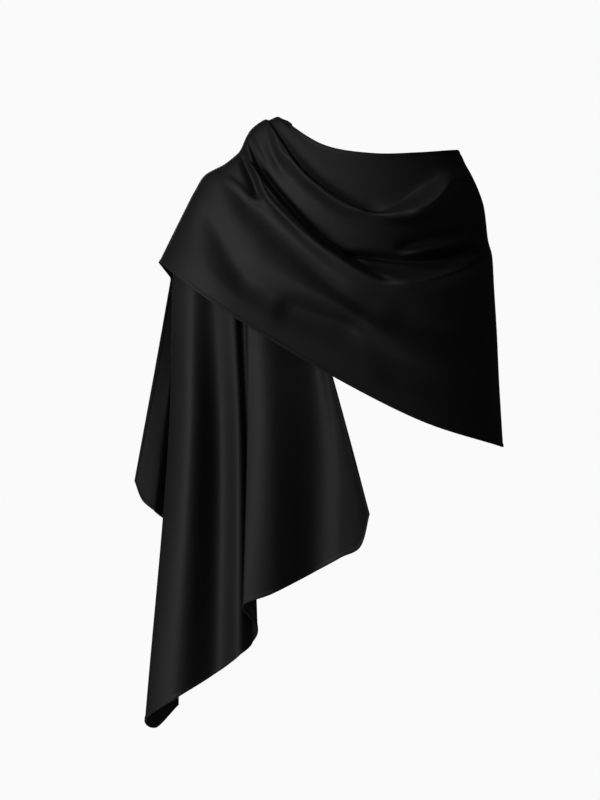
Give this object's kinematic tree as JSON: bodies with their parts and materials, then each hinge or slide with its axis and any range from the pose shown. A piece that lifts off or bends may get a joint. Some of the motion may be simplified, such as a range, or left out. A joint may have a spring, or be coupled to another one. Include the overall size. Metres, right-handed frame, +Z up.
{
  "type": "worn draped scarf",
  "caption": "Black scarf worn wound round the shoulders: cowl folds cross the chest, one end hangs in front in pleats and the other behind, with the neck and underside open.",
  "frame": {"origin": "middle of the shoulders at the base of the neck, where the wearer holds the scarf up", "axes": "+Z up, the front of the scarf faces -Y, and the shoulder that it goes over twice is on the -X side"},
  "size_m": [0.5422, 0.2893, 0.895],
  "materials": {
    "black_cloth": "satin"
  },
  "bodies": {
    "root": {"front_end": "black_cloth", "back_wrap": "black_cloth", "chest_wrap": "black_cloth", "back_end": "black_cloth"}
  },
  "joints": []
}
